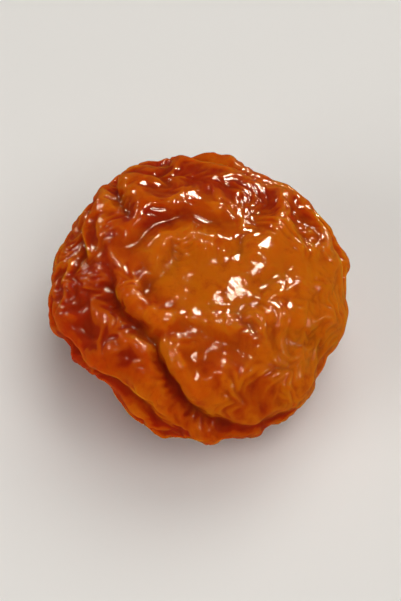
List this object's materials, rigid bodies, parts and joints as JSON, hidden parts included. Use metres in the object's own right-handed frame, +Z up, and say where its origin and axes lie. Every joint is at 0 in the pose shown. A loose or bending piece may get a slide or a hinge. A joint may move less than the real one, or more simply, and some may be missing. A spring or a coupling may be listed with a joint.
{
  "type": "dried plum",
  "caption": "Whole dried yellow plum with glossy amber skin, deep folds and a stalk scar, lying on its broad side.",
  "frame": {"origin": "under the middle of the fruit's bounding box, on the surface that it lies on", "axes": "+Z up, across the thickness; +Y along the length, towards the back with the stalk scar; +X to the right, seen from the front"},
  "size_m": [0.0398, 0.0414, 0.0256],
  "materials": {
    "plum_skin": "glossy, translucent amber fruit skin"
  },
  "bodies": {
    "root": {"dried_plum": "plum_skin"}
  },
  "joints": []
}
